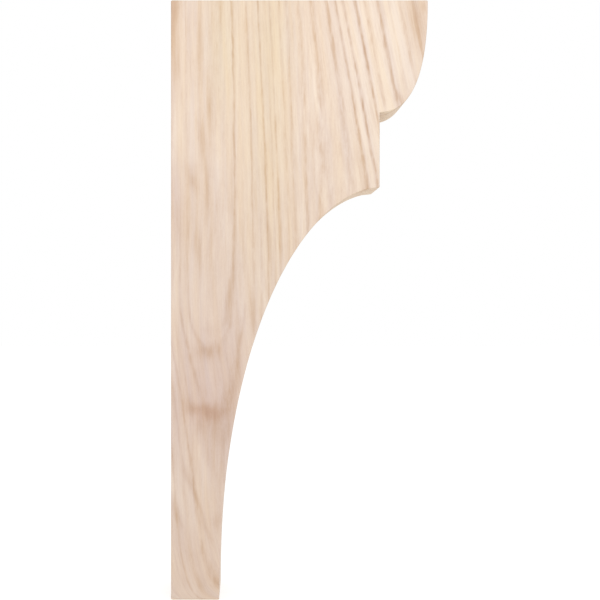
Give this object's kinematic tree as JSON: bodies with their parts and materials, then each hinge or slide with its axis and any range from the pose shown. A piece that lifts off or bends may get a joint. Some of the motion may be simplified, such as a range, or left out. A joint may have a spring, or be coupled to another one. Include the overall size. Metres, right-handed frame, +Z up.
{
  "type": "wooden corbel bracket",
  "caption": "Sawn softwood corbel bracket with a rounded nose, a notch, a square block and a long hollow cove running down to a narrow foot against the wall.",
  "frame": {"origin": "centre of the back face, the face that lies flat on the wall", "axes": "+X out from the wall, +Y across the thickness, +Z up along the wall"},
  "size_m": [0.3048, 0.0888, 0.7112],
  "materials": {
    "softwood": "planed and sanded, unfinished"
  },
  "bodies": {
    "root": {"corbel": "softwood"}
  },
  "joints": []
}
